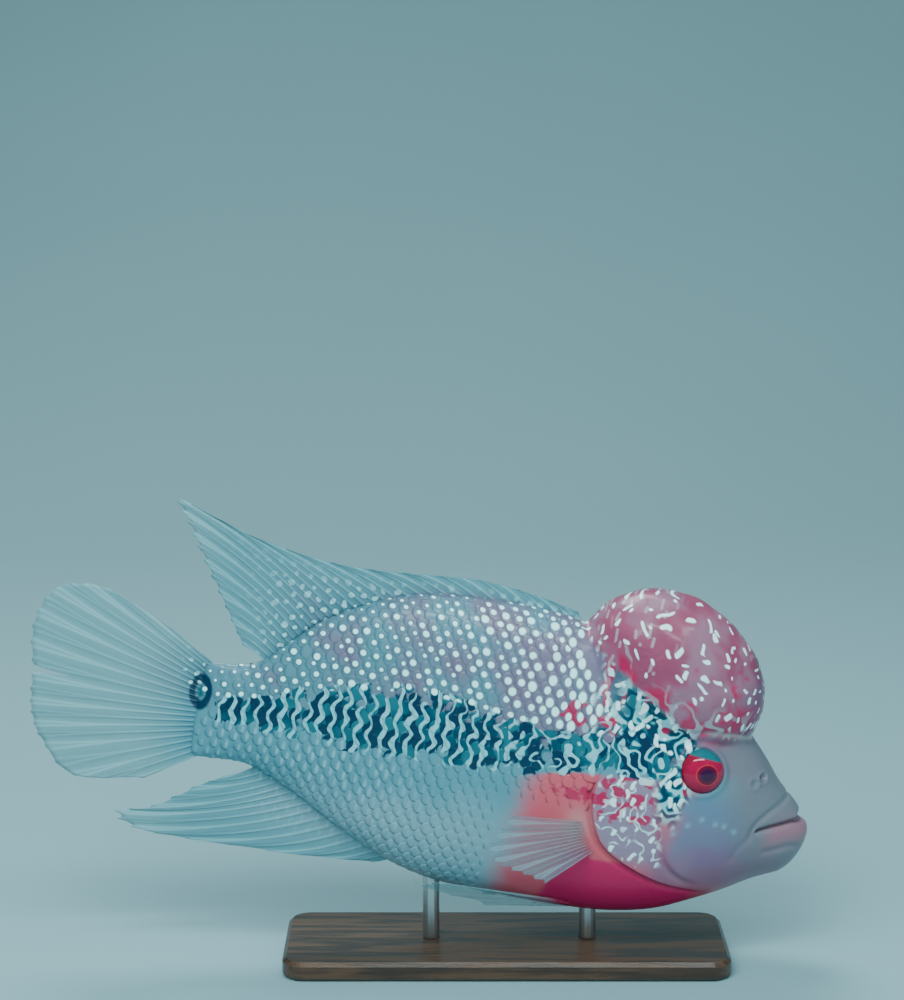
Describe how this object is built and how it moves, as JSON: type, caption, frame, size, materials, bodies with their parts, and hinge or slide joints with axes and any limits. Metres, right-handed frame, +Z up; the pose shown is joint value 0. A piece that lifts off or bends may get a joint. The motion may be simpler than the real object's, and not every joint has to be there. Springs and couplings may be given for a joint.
{
  "type": "flowerhorn cichlid display model",
  "caption": "Still life-size flowerhorn cichlid with a round forehead hump and rayed fins, swimming head slightly down, held on two steel rods over a plain flat wooden base.",
  "frame": {"origin": "centre of the model's footprint, at the underside of the stand base, at floor level", "axes": "+X from the tail to the mouth, +Z up; the fish's right side faces -Y"},
  "size_m": [0.2765, 0.0768, 0.1677],
  "materials": {
    "face_skin": "smooth wet skin, grey-pink snout and violet cheek",
    "hump_skin": "soft wet skin, pink with crimson patches and short pale marks",
    "cover_skin": "wet skin, grey-lilac with pale worm marks and crimson gaps",
    "flank_skin": "small overlapping scales with pearly cyan spots and a dark band",
    "eye": "clear glossy eye, red iris and dark pupil",
    "fin_membrane": "thin translucent membrane over raised rays",
    "stand_wood": "dark stained, satin",
    "stand_steel": "brushed"
  },
  "bodies": {
    "root": {"head": "face_skin", "lower_jaw": "face_skin", "hump": "hump_skin", "gill_cover_right": "cover_skin", "gill_cover_left": "cover_skin", "trunk": "flank_skin", "tail_stalk": "flank_skin", "eye_right": "eye", "eye_left": "eye", "dorsal_fin": "fin_membrane", "anal_fin": "fin_membrane", "caudal_fin": "fin_membrane", "pectoral_fin_right": "fin_membrane", "pectoral_fin_left": "fin_membrane", "pelvic_fin_right": "fin_membrane", "pelvic_fin_left": "fin_membrane", "stand_base": "stand_wood", "stand_rod_front": "stand_steel", "stand_rod_rear": "stand_steel"}
  },
  "joints": []
}
